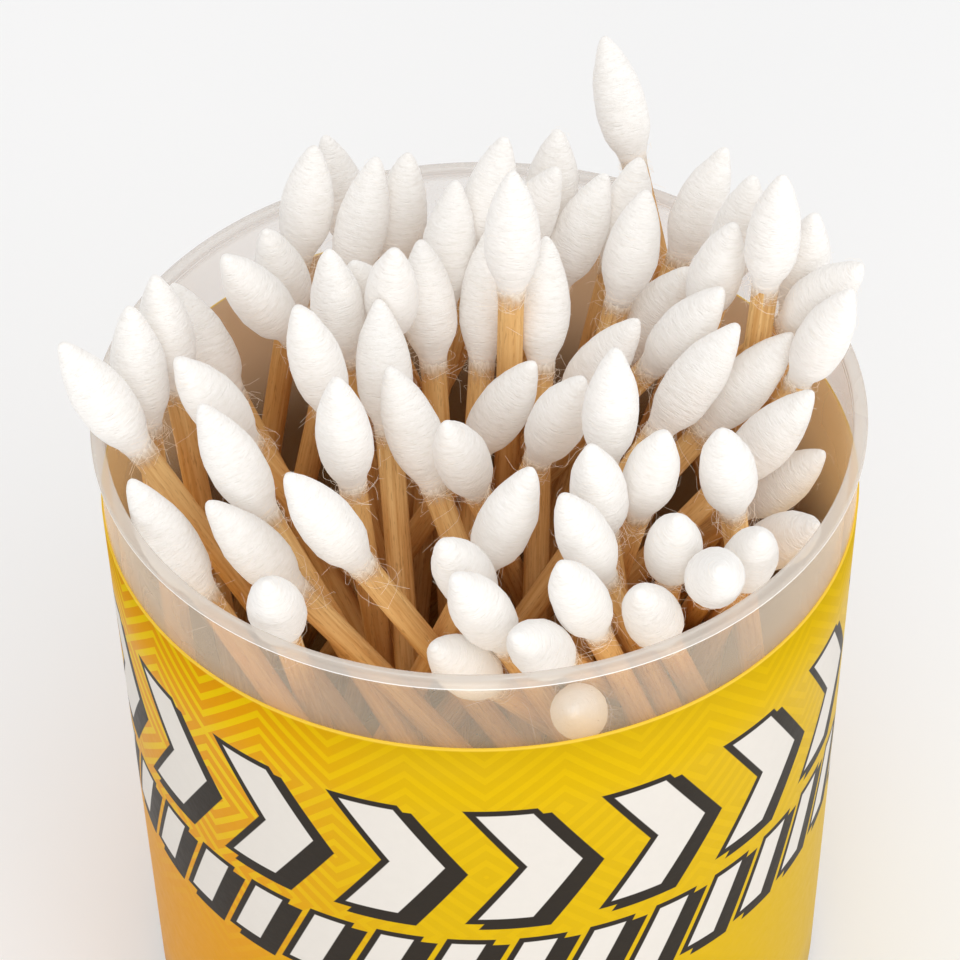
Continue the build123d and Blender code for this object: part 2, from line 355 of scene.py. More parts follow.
@dataclass(frozen=True)
class PrintedFilm:
    """Golden film with nested diamonds, bold chevrons and slanted bars; lengths in millimetres."""

    yellow: Colour = tone(208, 169, 0)
    amber: Colour = tone(216, 148, 3)
    line: Colour = tone(224, 186, 0)
    ink: Colour = tone(46, 40, 34)
    paper: Colour = tone(220, 214, 206)
    # painted highlight: pale yellow along the film's top edge
    edge: Colour = tone(246, 206, 70)
    line_pitch: float = 1.9
    line_width: float = 0.8
    diamond_width: float = 12.11
    diamond_height: float = 15.0
    outline: float = 0.6
    shadow_right: float = 1.1
    shadow_down: float = 0.7
    chevron_middle: float = 14.0
    chevron_pitch: float = 10.767
    chevron_slope: float = 0.62
    chevron_stroke: float = 3.7
    chevron_height: float = 12.6
    bar_middle: float = 27.0
    bar_pitch: float = 5.767
    bar_width: float = 2.7
    bar_height: float = 7.0
    bar_slant: float = 0.4
    line_soft: float = 0.06
    shape_soft: float = 0.05
    warm_left: Span = (-3.0, -24.0)
    warm_right: Span = (50.0, 85.0)
    line_share: Span = (0.4, 0.6)
    line_fade: Span = (40.0, 10.0)
    top_highlight: Span = (0.3, 0.1)
    mottle: Grain = Grain(0.9, stretch=(1, 1, 0))
    mottle_share: float = 0.04
    rough: Span = (0.32, 0.14)
    specular: float = 0.06
    relief: Span = (0.2 * MM, 0.12)

    def chevrons(self, around: Signal, down: Signal) -> Signal:
        """Distance from the row of chevrons, negative inside."""
        along = abs(down - self.chevron_middle)
        beside = (around + self.chevron_slope * along) % self.chevron_pitch - self.chevron_pitch / 2
        across = abs(beside) / math.hypot(1, self.chevron_slope)
        return (across - self.chevron_stroke / 2).larger(along - self.chevron_height / 2)

    def bars(self, around: Signal, down: Signal) -> Signal:
        """Distance from the slanted bars, negative inside."""
        along = down - self.bar_middle
        across = abs((around + self.bar_slant * along) % self.bar_pitch - self.bar_pitch / 2)
        return (across - self.bar_width / 2).larger(abs(along) - self.bar_height / 2)

    def shapes(self, around: Signal, down: Signal) -> Signal:
        """Distance from the nearest of all the printed shapes."""
        return self.chevrons(around, down).smaller(self.bars(around, down))

    def lines(self, around: Signal, down: Signal) -> Signal:
        """Share of the tone-on-tone nested diamond lines."""
        across = abs(around % self.diamond_width - self.diamond_width / 2)
        along = abs(down % self.diamond_height - self.diamond_height / 2)
        nested = (across + along) % self.line_pitch
        return nested.ramp(self.line_width + self.line_soft, self.line_width - self.line_soft)

    def material(self) -> bpy.types.Material:
        """Build the printed face."""
        graph = Graph("printed_film")
        around, down, _ = graph.parts(graph.unwrapped())
        mottle = graph.grain(graph.unwrapped(), self.mottle)
        warm = around.ramp(*self.warm_left).larger(around.ramp(*self.warm_right))
        ground = graph.blend(warm, self.yellow, self.amber)
        strength = graph.varied(self.line_share, warm) * down.ramp(*self.line_fade)
        ground = graph.blend(self.lines(around, down) * strength, ground, self.line)
        face = self.shapes(around, down)
        cast = self.shapes(around - self.shadow_right, down - self.shadow_down)
        soft = self.shape_soft
        ink = face.smaller(cast).ramp(self.outline + soft, self.outline - soft)
        printed = graph.blend(ink, ground, self.ink)
        printed = graph.blend(face.ramp(soft, -soft), printed, self.paper)
        # painted highlight along the top edge of the film
        printed = graph.blend(down.ramp(*self.top_highlight), printed, self.edge)
        return graph.close(
            Base_Color=graph.blend(self.mottle_share * mottle, printed, self.ink),
            Roughness=graph.varied(self.rough, mottle),
            Specular_IOR_Level=self.specular,
            Normal=graph.bump(mottle, self.relief),
        )


@dataclass(frozen=True)
class FilmBack:
    """Unprinted back of the film, seen through the tub, with painted light, painted shade and a
    painted glow; lengths in metres.
    """

    gold: Colour = tone(246, 214, 148)
    olive: Colour = tone(226, 188, 118)
    # painted shade: taupe towards the back of the tub
    taupe: Colour = tone(172, 144, 114)
    # painted shade: dark brown low in the tub, giving way to lighter gold above
    depth: Colour = tone(64, 38, 14)
    dark_below: float = 40 * MM
    light_above: float = 54 * MM
    taupe_edge: Span = (-4 * MM, 20 * MM)
    cloud: Grain = Grain(90)
    rough: Span = (0.5, 0.2)
    # painted glow: the face emits its own painted colour
    painted_glow: float = 0.6

    def material(self) -> bpy.types.Material:
        """Build the back face, painted lighter towards the top where light comes through the film,
        painted with shade lower down and towards the back, and given a painted glow.
        """
        graph = Graph("film_back")
        cloud = graph.grain(graph.place(), self.cloud)
        _, back, height = graph.parts(graph.place())
        gold = graph.blend(cloud, self.gold, self.olive)
        # painted shade towards the back
        gold = graph.blend(back.ramp(*self.taupe_edge), gold, self.taupe)
        # painted shade low down and painted light towards the top
        shown = graph.blend(height.ramp(self.dark_below, self.light_above), self.depth, gold)
        return graph.close(
            Base_Color=shown,
            Roughness=graph.varied(self.rough, cloud),
            Emission_Color=shown,
            Emission_Strength=self.painted_glow,
        )


@dataclass(frozen=True)
class BirchWood:
    """Honey-coloured sticks with long grain and short dark pores."""

    light: Colour = tone(243, 203, 140)
    deep: Colour = tone(212, 158, 92)
    pore: Colour = tone(166, 110, 56)
    streak: Grain = Grain(1.0, 3, 0.7, (2.6, 2.6, 0.07))
    fleck: Grain = Grain(1.0, 2, 0.6, (7.0, 7.0, 0.75))
    tint: Grain = Grain(1.0, 1, stretch=(0.05, 0.05, 0.02))
    streak_edge: Span = (0.3, 0.72)
    tint_edge: Span = (0.35, 0.7)
    pore_edge: Span = (0.57, 0.68)
    tint_share: float = 0.5
    pore_share: float = 0.42
    rough: Span = (0.58, 0.2)
    specular: float = 0.3
    relief: Span = (0.12 * MM, 0.5)

    def material(self) -> bpy.types.Material:
        """Build the wood."""
        graph = Graph("birch_wood")
        place = graph.attribute(SWAB_ATTRIBUTE, "Vector")
        streak = graph.grain(place, self.streak)
        fleck = graph.grain(place, self.fleck)
        tint = graph.grain(place, self.tint)
        wood = graph.blend(streak.ramp(*self.streak_edge), self.light, self.deep)
        wood = graph.blend(self.tint_share * tint.ramp(*self.tint_edge), wood, self.deep)
        pores = fleck.ramp(*self.pore_edge)
        return graph.close(
            Base_Color=graph.blend(self.pore_share * pores, wood, self.pore),
            Roughness=graph.varied(self.rough, fleck),
            Specular_IOR_Level=self.specular,
            Normal=graph.bump(streak, self.relief),
        )


@dataclass(frozen=True)
class WoundCotton:
    """White cotton wound in fine rings, thinning towards the neck; lengths in millimetres."""

    name: str = "wound_cotton"
    white: Colour = tone(237, 236, 234)
    shade: Colour = tone(219, 216, 210)
    thin: Colour = tone(238, 214, 186)
    # painted glow: a warm emission that lifts the shaded sides of the cotton
    painted_glow_tint: Colour = tone(252, 236, 222)
    painted_glow: float = 0.14
    rings: Grain = Grain(1.0, 2, 0.65, (0.6, 0.6, 3.0))
    strands: Grain = Grain(1.0, 2, 0.65, (1.6, 1.6, 8.0))
    ring_edge: Span = (0.35, 0.75)
    strand_edge: Span = (0.4, 0.75)
    shade_share: float = 0.35
    thin_edge: Span = (1.3, -1.1)
    thin_ragged: float = 2.2
    thin_share: float = 0.85
    rough: Span = (0.9, 0.08)
    specular: float = 0.05
    sheen: float = 0.5
    sheen_rough: float = 0.45
    relief: Span = (0.3 * MM, 0.8)

    def material(self) -> bpy.types.Material:
        """Build the cotton."""
        graph = Graph(self.name)
        place = graph.attribute(SWAB_ATTRIBUTE, "Vector")
        along = graph.attribute(ALONG_ATTRIBUTE, "Fac")
        rings = graph.grain(place, self.rings)
        strands = graph.grain(place, self.strands)
        ragged = along + self.thin_ragged * (strands - NOISE_MIDDLE)
        winding = rings.ramp(*self.ring_edge) + strands.ramp(*self.strand_edge)
        cotton = graph.blend(self.shade_share * winding, self.white, self.shade)
        thin = self.thin_share * ragged.ramp(*self.thin_edge)
        return graph.close(
            Base_Color=graph.blend(thin, cotton, self.thin),
            # painted glow that brightens and warms the cotton's shaded sides
            Emission_Color=self.painted_glow_tint,
            Emission_Strength=self.painted_glow,
            Roughness=graph.varied(self.rough, rings),
            Specular_IOR_Level=self.specular,
            Sheen_Weight=self.sheen,
            Sheen_Roughness=self.sheen_rough,
            Normal=graph.bump((rings + strands) / 2, self.relief),
        )


@dataclass(frozen=True)
class FrayedCotton:
    """Thin cotton that frays out over the stick; lengths in millimetres from the neck."""

    near: Colour = tone(238, 229, 217)
    far: Colour = tone(230, 200, 162)
    whole: Span = (-1.9, 0.7)
    ragged: float = 2.0
    wisps: Grain = Grain(1.0, 3, 0.65, (3.2, 3.2, 1.1))
    rough: Span = (0.85, 0.1)
    specular: float = 0.05
    # painted glow
    painted_glow: float = 0.06

    def material(self) -> bpy.types.Material:
        """Build the frayed cotton."""
        graph = Graph("frayed_cotton")
        place = graph.attribute(SWAB_ATTRIBUTE, "Vector")
        along = graph.attribute(ALONG_ATTRIBUTE, "Fac")
        wisps = graph.grain(place, self.wisps)
        whole = (along + self.ragged * (wisps - NOISE_MIDDLE)).ramp(*self.whole)
        colour = graph.blend(whole, self.far, self.near)
        return graph.close(
            Base_Color=colour,
            # painted glow in the cotton's own colour
            Emission_Color=colour,
            Emission_Strength=self.painted_glow,
            Roughness=graph.varied(self.rough, wisps),
            Specular_IOR_Level=self.specular,
            Alpha=whole,
        )


@dataclass(frozen=True)
class LooseCotton:
    """Single stray fibres of cotton."""

    white: Colour = tone(246, 240, 230)
    warm: Colour = tone(234, 214, 190)
    cloud: Grain = Grain(400)
    rough: Span = (0.6, 0.3)
    # painted glow, so the fibres look lit from behind
    painted_glow: float = 0.2

    def material(self) -> bpy.types.Material:
        """Build the fibre finish."""
        graph = Graph("loose_cotton")
        cloud = graph.grain(graph.place(), self.cloud)
        colour = graph.blend(cloud, self.white, self.warm)
        return graph.close(
            Base_Color=colour,
            Roughness=graph.varied(self.rough, cloud),
            # painted glow, so the fibres look lit from behind
            Emission_Color=colour,
            Emission_Strength=self.painted_glow,
        )


@dataclass(frozen=True)
class StudioPaper:
    """Matt white paper of the studio floor."""

    white: Colour = tone(248, 248, 248)
    grey: Colour = tone(245, 245, 245)
    cloud: Grain = Grain(3)
    rough: Span = (0.85, 0.1)
    specular: float = 0.1

    def material(self) -> bpy.types.Material:
        """Build the paper."""
        graph = Graph("studio_paper")
        cloud = graph.grain(graph.place(), self.cloud)
        return graph.close(
            Base_Color=graph.blend(cloud, self.white, self.grey),
            Roughness=graph.varied(self.rough, cloud),
            Specular_IOR_Level=self.specular,
        )


def piece(
    name: str,
    shape: bmesh.types.BMesh,
    finishes: Sequence[bpy.types.Material],
    stands_for: Iterable[str] = (),
) -> bpy.types.Object:
    """Turn a finished bmesh into a dressed piece that rides on the tub.

    Args:
        name: The piece's name.
        shape: Its mesh, freed here.
        finishes: Its materials in order.
        stands_for: Names of the solids that it is shown for.

    Returns:
        The new object.
    """
    mesh = bpy.data.meshes.new(name)
    shape.to_mesh(mesh)
    shape.free()
    for finish in finishes:
        mesh.materials.append(finish)
    thing = bpy.data.objects.new(name, mesh)
    bpy.context.scene.collection.objects.link(thing)
    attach(thing, BODY)
    if stands_for:
        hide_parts(*stands_for)
    log.info("%s: %d faces", name, len(mesh.polygons))
    return thing


def turned(section: Sequence[Span], steps: int) -> bmesh.types.BMesh:
    """Solid of revolution about the vertical axis.

    Args:
        section: Radius and height of each point, from pole to pole.
        steps: How many steps round the axis.

    Returns:
        The closed mesh with its faces outwards.
    """
    shape = bmesh.new()
    points = [shape.verts.new((radius, 0, height)) for radius, height in section]
    edges = [shape.edges.new(pair) for pair in zip(points, points[1:])]
    bmesh.ops.spin(
        shape,
        geom=points + edges,
        cent=(0, 0, 0),
        axis=(0, 0, 1),
        angle=FULL_TURN,
        steps=steps,
        use_merge=True,
    )
    bmesh.ops.remove_doubles(shape, verts=shape.verts, dist=MERGE_DISTANCE)
    bmesh.ops.recalc_face_normals(shape, faces=shape.faces)
    return shape


@dataclass
class Tub:
    """The thin open tub; lengths in metres."""

    height: float = RIM_HEIGHT
    rim_radius: float = 31 * MM
    lip_overhang: float = 0.36 * MM
    lip_height: float = 0.6 * MM
    wall: float = 0.75 * MM
    floor: float = 1.2 * MM
    base_round: float = 1.1 * MM
    floor_round: float = 0.4 * MM
    lip_round: float = 0.2 * MM
    crease: float = 0.6
    steps: int = 160
    round_steps: int = 4

    @property
    def outer(self) -> float:
        """Outside radius of the wall."""
        return self.rim_radius - self.lip_overhang

    def rounded(self, shape: bmesh.types.BMesh, radius: float, height: float, size: float) -> None:
        """Round the ring edge of the tub at a radius and height.

        Args:
            shape: The tub's mesh.
            radius: Radius of the ring.
            height: Height of the ring.
            size: How far the rounding reaches from the edge.
        """
        def on_ring(vert: bmesh.types.BMVert) -> bool:
            """Whether a vertex lies on the ring."""
            beside = abs(vert.co.xy.length - radius)
            return beside < SAME_PLACE and abs(vert.co.z - height) < SAME_PLACE

        edges = [edge for edge in shape.edges if all(on_ring(vert) for vert in edge.verts)]
        bmesh.ops.bevel(
            shape,
            geom=edges,
            offset=size,
            segments=self.round_steps,
            profile=ROUND_PROFILE,
            affect="EDGES",
            material=-1,
        )

    def build(self, finish: MilkyPlastic) -> bpy.types.Object:
        """Build and dress the tub.

        Args:
            finish: The plastic.

        Returns:
            The tub's object.
        """
        inner = self.outer - self.wall
        lip_foot = self.height - self.lip_height
        section = [
            (0, 0),
            (self.outer, 0),
            (self.outer, lip_foot - self.lip_overhang),
            (self.rim_radius, lip_foot),
            (self.rim_radius, self.height),
            (inner, self.height),
            (inner, self.floor),
            (0, self.floor),
        ]
        shape = turned(section, self.steps)
        self.rounded(shape, self.outer, 0, self.base_round)
        self.rounded(shape, inner, self.floor, self.floor_round)
        self.rounded(shape, self.rim_radius, self.height, self.lip_round)
        self.rounded(shape, inner, self.height, self.lip_round)
        for face in shape.faces:
            face.smooth = True
        for edge in shape.edges:
            edge.smooth = edge.calc_face_angle(0) < self.crease
        return piece("tub_wall", shape, [finish.material()], ["tub"])


@dataclass
class Label:
    """The printed film sleeve on the wall; lengths in metres."""

    inside: float = 30.69 * MM
    film: float = 0.15 * MM
    foot: float = 3 * MM
    top: float = 59.7 * MM
    seam: float = 0.03 * MM
    flat_share: float = 0.5
    steps: int = 240
    rows: int = 8

    def build(self, face: PrintedFilm, back: FilmBack) -> bpy.types.Object:
        """Build and dress the label: a flat sheet with its print, then bent round the tub.

        Args:
            face: Finish of the printed side.
            back: Finish of the side on the tub.

        Returns:
            The label's object.
        """
        shape = bmesh.new()
        outside = self.inside + self.film
        half = math.pi * outside - self.seam / 2
        bmesh.ops.create_grid(shape, x_segments=self.steps, y_segments=self.rows, size=1)
        height = self.top - self.foot
        scale = Matrix.Diagonal((half, height / 2, 1, 1))
        bmesh.ops.transform(shape, matrix=scale, verts=shape.verts)
        bmesh.ops.translate(shape, vec=(0, self.foot + height / 2, 0), verts=shape.verts)
        print_map = shape.loops.layers.uv.new("print")
        for flat in shape.faces:
            flat.smooth = True
            for loop in flat.loops:
                place = loop.vert.co
                loop[print_map].uv = (place.x / MM, (self.top - place.y) / MM)
        for vert in shape.verts:
            angle = vert.co.x / outside
            vert.co = (outside * math.sin(angle), -outside * math.cos(angle), vert.co.y)
        self.face_outwards(shape)
        bmesh.ops.solidify(shape, geom=shape.faces[:], thickness=self.film)
        for part in shape.faces:
            middle = part.calc_center_median()
            outwards = part.normal.dot(Vector((middle.x, middle.y, 0)).normalized())
            part.material_index = 1 if outwards < -self.flat_share else 0
            part.smooth = abs(outwards) > self.flat_share
        return piece("wrap_label", shape, [face.material(), back.material()], ["label"])

    @staticmethod
    def face_outwards(shape: bmesh.types.BMesh) -> None:
        """Turn an open sleeve's faces away from the tub's axis."""
        shape.normal_update()
        level = Vector((1, 1, 0))
        inward = [
            face for face in shape.faces if face.normal.dot(face.calc_center_median() * level) < 0
        ]
        bmesh.ops.reverse_faces(shape, faces=inward)
        shape.normal_update()


@dataclass(frozen=True)
class Swab:
    """Where one swab stands: the ends of its bare stick."""

    lower: Vector
    upper: Vector

    @property
    def axis(self) -> Vector:
        """Direction from foot to nose."""
        return (self.upper - self.lower).normalized()

    @staticmethod
    def frame_at(origin: Vector, direction: Vector, twist: float) -> Matrix:
        """Matrix that puts a shape made along Z at a point of the swab.

        Args:
            origin: Where the shape's own origin goes.
            direction: Where its Z axis points.
            twist: Turn about that axis.

        Returns:
            The matrix.
        """
        turn = direction.to_track_quat("Z", "Y").to_matrix().to_4x4()
        return Matrix.Translation(origin) @ turn @ Matrix.Rotation(twist, 4, "Z")


def read_swabs() -> list[Swab]:
    """Find every swab from the two end rings of its solid stick.

    Returns:
        The swabs in a steady order.
    """
    swabs = []
    for name in sorted(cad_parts):
        if not name.startswith("sticks_"):
            continue
        solid = bmesh.new()
        solid.from_mesh(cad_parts[name].data)
        bmesh.ops.remove_doubles(solid, verts=solid.verts, dist=SAME_PLACE)
        waiting = set(solid.verts)
        while waiting:
            island, front = set(), [min(waiting, key=lambda vert: vert.index)]
            while front:
                vert = front.pop()
                if vert in waiting:
                    waiting.remove(vert)
                    island.add(vert)
                    front.extend(edge.other_vert(vert) for edge in vert.link_edges)
            first = min(island, key=lambda vert: vert.co.z).co.copy()
            near = [vert.co for vert in island if (vert.co - first).length < END_REACH]
            far = [vert.co for vert in island if (vert.co - first).length >= END_REACH]
            ends = [sum(ring, Vector()) / len(ring) for ring in (near, far)]
            swabs.append(Swab(*sorted(ends, key=lambda end: end.z)))
        solid.free()
    return swabs


class Bunch:
    """Many copies of one turned shape in a single mesh, each with its place on its swab stored."""

    coarse_lumps: float = 0.55
    fine_lumps: float = 1.3
    fine_share: float = 0.5
    bend_length: float = 10

    def __init__(self) -> None:
        """Start an empty bunch."""
        self.shape = bmesh.new()
        self.place = self.shape.verts.layers.float_vector.new(SWAB_ATTRIBUTE)
        self.along = self.shape.verts.layers.float.new(ALONG_ATTRIBUTE)

    def add(
        self,
        single: bmesh.types.BMesh,
        matrix: Matrix,
        offset: Vector,
        lumps: float,
        stretch: Vector = Vector((1, 1, 1)),
        bend: Vector = Vector((0, 0, 0)),
    ) -> None:
        """Add one copy of a shape made along Z.

        Args:
            single: The shape, in metres.
            matrix: Where it goes.
            offset: Shift of its stored place, in millimetres, so that no two look the same.
            lumps: Height of its soft unevenness, in metres.
            stretch: Factors on its thickness and length.
            bend: Sideways shift at the bend length, growing with the square of the length.
        """
        mesh = bpy.data.meshes.new("copy")
        single.to_mesh(mesh)
        before = len(self.shape.verts)
        self.shape.from_mesh(mesh)
        bpy.data.meshes.remove(mesh)
        self.shape.verts.ensure_lookup_table()
        for index in range(before, len(self.shape.verts)):
            vert = self.shape.verts[index]
            local = vert.co / MM
            vert[self.place] = local + offset
            vert[self.along] = local.z
            swell = noise.noise(local * self.coarse_lumps + offset)
            swell += self.fine_share * noise.noise(local * self.fine_lumps + offset)
            out = Vector((local.x, local.y, 0)).normalized()
            curl = bend * max(local.z / self.bend_length, 0) ** 2
            vert.co = matrix @ (vert.co * stretch + out * lumps * swell + curl)


@dataclass
class Swabs:
    """All the sticks and cotton tips; lengths in millimetres along the tip from its neck."""

    stick_radius: float = 1.075
    belly_radius: float = 2.22
    tip_length: float = 11.2
    sleeve: float = 2.2
    tuck: float = 0.45
    sleeve_cover: Triple = (0.03, 0.06, 0.09)
    bend: float = 0.3
    stick_lumps: float = 0.025
    head_lumps: float = 0.09
    foot_lumps: float = 0.05
    girth_range: Span = (0.96, 1.03)
    length_range: Span = (0.95, 1.03)
    offset_range: Span = (0, 40)
    offset_step: float = 150.0
    head_steps: int = 22
    foot_steps: int = 10
    stick_steps: int = 12
    stick_rings: int = 6
    seed: int = 41
    head_profile: tuple[Span, ...] = (
        (0.00, 0.50), (0.05, 0.55), (0.10, 0.635), (0.16, 0.78), (0.22, 0.89), (0.30, 0.97),
        (0.39, 1.00), (0.48, 0.99), (0.57, 0.945), (0.66, 0.855), (0.74, 0.735), (0.81, 0.605),
        (0.875, 0.465), (0.93, 0.33), (0.968, 0.22), (0.99, 0.12), (1.0, 0.0),
    )
    foot_profile: tuple[Span, ...] = (
        (0.00, 0.54), (0.16, 0.77), (0.31, 0.965), (0.45, 0.99), (0.62, 0.87), (0.80, 0.58),
        (0.93, 0.28), (1.0, 0.0),
    )

    def head_at(self, share: float) -> Span:
        """Distance from the neck and radius of an upper tip at a share of its length."""
        for (low, thin), (high, thick) in zip(self.head_profile, self.head_profile[1:]):
            if share <= high:
                radius = thin + (thick - thin) * (share - low) / (high - low)
                return share * self.tip_length, radius * self.belly_radius
        return self.tip_length, 0.0

    def tip(self, profile: Sequence[Span], steps: int) -> bmesh.types.BMesh:
        """One cotton tip along Z, its neck at the origin.

        Args:
            profile: Shares of length and of belly radius from neck to nose.
            steps: How many steps round the tip.

        Returns:
            The tip's mesh.
        """
        section = [(0.0, 0.0)]
        section += [(share * self.belly_radius, rise * self.tip_length) for rise, share in profile]
        return turned([(radius * MM, rise * MM) for radius, rise in section], steps)

    def neck(self) -> bmesh.types.BMesh:
        """The thin cotton on the stick below an upper tip."""
        cover = zip(self.sleeve_cover, (-self.sleeve, -self.sleeve / 2, self.tuck))
        section = [(0, -self.sleeve)]
        section += [(self.stick_radius + over, rise) for over, rise in cover]
        section += [(0, self.tuck)]
        return turned([(radius * MM, rise * MM) for radius, rise in section], self.stick_steps)

    def stick(self, length: float) -> bmesh.types.BMesh:
        """One wooden stick along Z from the origin, in metres.

        Args:
            length: Its length.

        Returns:
            The stick's mesh.
        """
        radius = self.stick_radius * MM
        rises = [length * ring / self.stick_rings for ring in range(self.stick_rings + 1)]
        section = [(0, 0)] + [(radius, rise) for rise in rises] + [(0, length)]
        return turned(section, self.stick_steps)

    def build(
        self,
        swabs: Sequence[Swab],
        wood: BirchWood,
        cotton: WoundCotton,
        frayed: FrayedCotton,
        shaded: WoundCotton,
    ) -> None:
        """Build and dress the sticks, the upper tips with their frayed necks and the lower tips.

        Args:
            swabs: Where the swabs stand.
            wood: Finish of the sticks.
            cotton: Finish of the upper tips.
            frayed: Finish of their necks.
            shaded: Finish of the lower tips.
        """
        chance = random.Random(self.seed)
        sticks, heads, necks, feet = Bunch(), Bunch(), Bunch(), Bunch()
        head = self.tip(self.head_profile, self.head_steps)
        foot = self.tip(self.foot_profile, self.foot_steps)
        neck = self.neck()
        length = (swabs[0].upper - swabs[0].lower).length
        rod = self.stick(length)
        for index, swab in enumerate(swabs):
            twist = chance.uniform(0, FULL_TURN)
            shifts = (chance.uniform(*self.offset_range), chance.uniform(*self.offset_range))
            offset = Vector((*shifts, self.offset_step * index))
            girth = chance.uniform(*self.girth_range)
            stretch = Vector((girth, girth, chance.uniform(*self.length_range)))
            bend = Vector((chance.uniform(0, self.bend) * MM, 0, 0))
            bottom = swab.frame_at(swab.lower, swab.axis, twist)
            top = swab.frame_at(swab.upper, swab.axis, twist)
            upside_down = swab.frame_at(swab.lower, -swab.axis, twist)
            sticks.add(rod, bottom, offset, self.stick_lumps * MM)
            heads.add(head, top, offset, self.head_lumps * MM, stretch, bend)
            necks.add(neck, top, offset, self.head_lumps * MM, stretch)
            feet.add(foot, upside_down, offset, self.foot_lumps * MM)
        for single in (head, neck, foot, rod):
            single.free()
        dressed = (
            ("stick_bundle", sticks, Slot.WOOD, wood.material(), "sticks_"),
            ("cotton_heads", heads, Slot.COTTON, cotton.material(), "upper_tips_"),
            ("frayed_necks", necks, Slot.COTTON, frayed.material(), None),
            ("cotton_feet", feet, Slot.COTTON, shaded.material(), "lower_tips_"),
        )
        for name, bunch, slot, finish, prefix in dressed:
            for face in bunch.shape.faces:
                face.smooth = True
            solids = [node for node in sorted(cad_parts) if prefix and node.startswith(prefix)]
            piece(name, bunch.shape, [finish], solids)


@dataclass
class LooseFibres:
    """Stray fibres at the necks of the cotton and short fuzz on its heads; lengths in metres."""

    for_each_neck: int = 34
    for_each_head: int = 15
    radius: float = 0.0105 * MM
    neck_reach: float = 2.6 * MM
    fuzz_reach: float = 0.45 * MM
    neck_rise: Span = (-1.6, 1.4)
    neck_share: Span = (0.25, 1.0)
    head_share: Span = (0.12, 0.97)
    fuzz_share: Span = (0.4, 1.0)
    neck_weight: float = 1.0
    fuzz_weight: float = 0.6
    rooted: float = 0.08 * MM
    wind_range: Span = (0.35, 0.9)
    slide_range: Span = (-0.4, 0.3)
    turn_range: Span = (0.6, 1.2)
    lift: Span = (0.2, 0.2)
    lift_range: Span = (0.35, 1.0)
    drift_range: Span = (0.3, 1.4)
    bends: int = 4
    curve_order: int = 4
    seed: int = 7

    def build(self, swabs: Sequence[Swab], cut: Swabs, finish: LooseCotton) -> bpy.types.Object:
        """Build and dress the fibres.

        Args:
            swabs: Where the swabs stand.
            cut: Sizes of the swabs.
            finish: The fibres' finish.

        Returns:
            The fibres' object.
        """
        chance = random.Random(self.seed)
        curve = bpy.data.curves.new("fibre_lines", "CURVE")
        curve.dimensions = "3D"
        curve.bevel_depth = self.radius
        curve.bevel_resolution = 0
        curve.resolution_u = 2
        for swab in swabs:
            for _ in range(self.for_each_neck):
                rise = chance.uniform(*self.neck_rise)
                reach = self.neck_reach * chance.uniform(*self.neck_share) ** 2
                self.fibre(curve, swab, rise, cut.stick_radius, reach, self.neck_weight, chance)
            for _ in range(self.for_each_head):
                rise, girth = cut.head_at(chance.uniform(*self.head_share))
                reach = self.fuzz_reach * chance.uniform(*self.fuzz_share)
                self.fibre(curve, swab, rise, girth, reach, self.fuzz_weight, chance)
        lines = bpy.data.objects.new("fibre_lines", curve)
        mesh = bpy.data.meshes.new_from_object(lines)
        shape = bmesh.new()
        shape.from_mesh(mesh)
        bpy.data.objects.remove(lines)
        bpy.data.curves.remove(curve)
        bpy.data.meshes.remove(mesh)
        for face in shape.faces:
            face.smooth = True
        return piece("loose_fibres", shape, [finish.material()])

    def fibre(
        self,
        curve: bpy.types.Curve,
        swab: Swab,
        rise: float,
        girth: float,
        reach: float,
        weight: float,
        chance: random.Random,
    ) -> None:
        """Add one fibre that springs from the cotton and curls round it.

        Args:
            curve: The curve that holds all fibres.
            swab: Whose cotton it springs from.
            rise: Millimetres from the neck where it starts.
            girth: Radius of the cotton there, in millimetres.
            reach: How far it reaches, in metres.
            weight: Factor on its thickness.
            chance: Source of its shape.
        """
        axis = swab.axis
        side = axis.orthogonal().normalized()
        side.rotate(Matrix.Rotation(chance.uniform(0, FULL_TURN), 3, axis))
        across = axis.cross(side)
        radius = girth * MM
        start = swab.upper + axis * rise * MM
        spread = [start + side * (radius - self.rooted)]
        wind = chance.choice((-1, 1)) * chance.uniform(*self.wind_range) * reach / radius
        slide = chance.uniform(*self.slide_range)
        for step in range(1, self.bends + 1):
            angle = wind * step * chance.uniform(*self.turn_range)
            lift = self.lift[0] + self.lift[1] * step
            out = radius + reach * lift * chance.uniform(*self.lift_range)
            drift = reach * slide * step * chance.uniform(*self.drift_range)
            away = side * math.cos(angle) + across * math.sin(angle)
            spread.append(start + away * out + axis * drift)
        spline = curve.splines.new("NURBS")
        spline.points.add(len(spread) - 1)
        for point, place in zip(spline.points, spread):
            point.co = (*place, 1)
            point.radius = weight
        spline.order_u = self.curve_order
        spline.use_endpoint_u = True


@dataclass(frozen=True)
class Softbox:
    """One square soft light; lengths in metres and power in watts."""

    name: str
    place: Triple
    size: float
    power: float

    def hang(self, aim: Vector) -> None:
        """Hang the light so that it looks at a point.

        Args:
            aim: The point.
        """
        lamp = bpy.data.lights.new(self.name, "AREA")
        lamp.size = self.size
        lamp.energy = self.power
        stand = bpy.data.objects.new(self.name, lamp)
        turn = (aim - Vector(self.place)).to_track_quat("-Z", "Y").to_matrix().to_4x4()
        stand.matrix_world = Matrix.Translation(self.place) @ turn
        bpy.context.scene.collection.objects.link(stand)


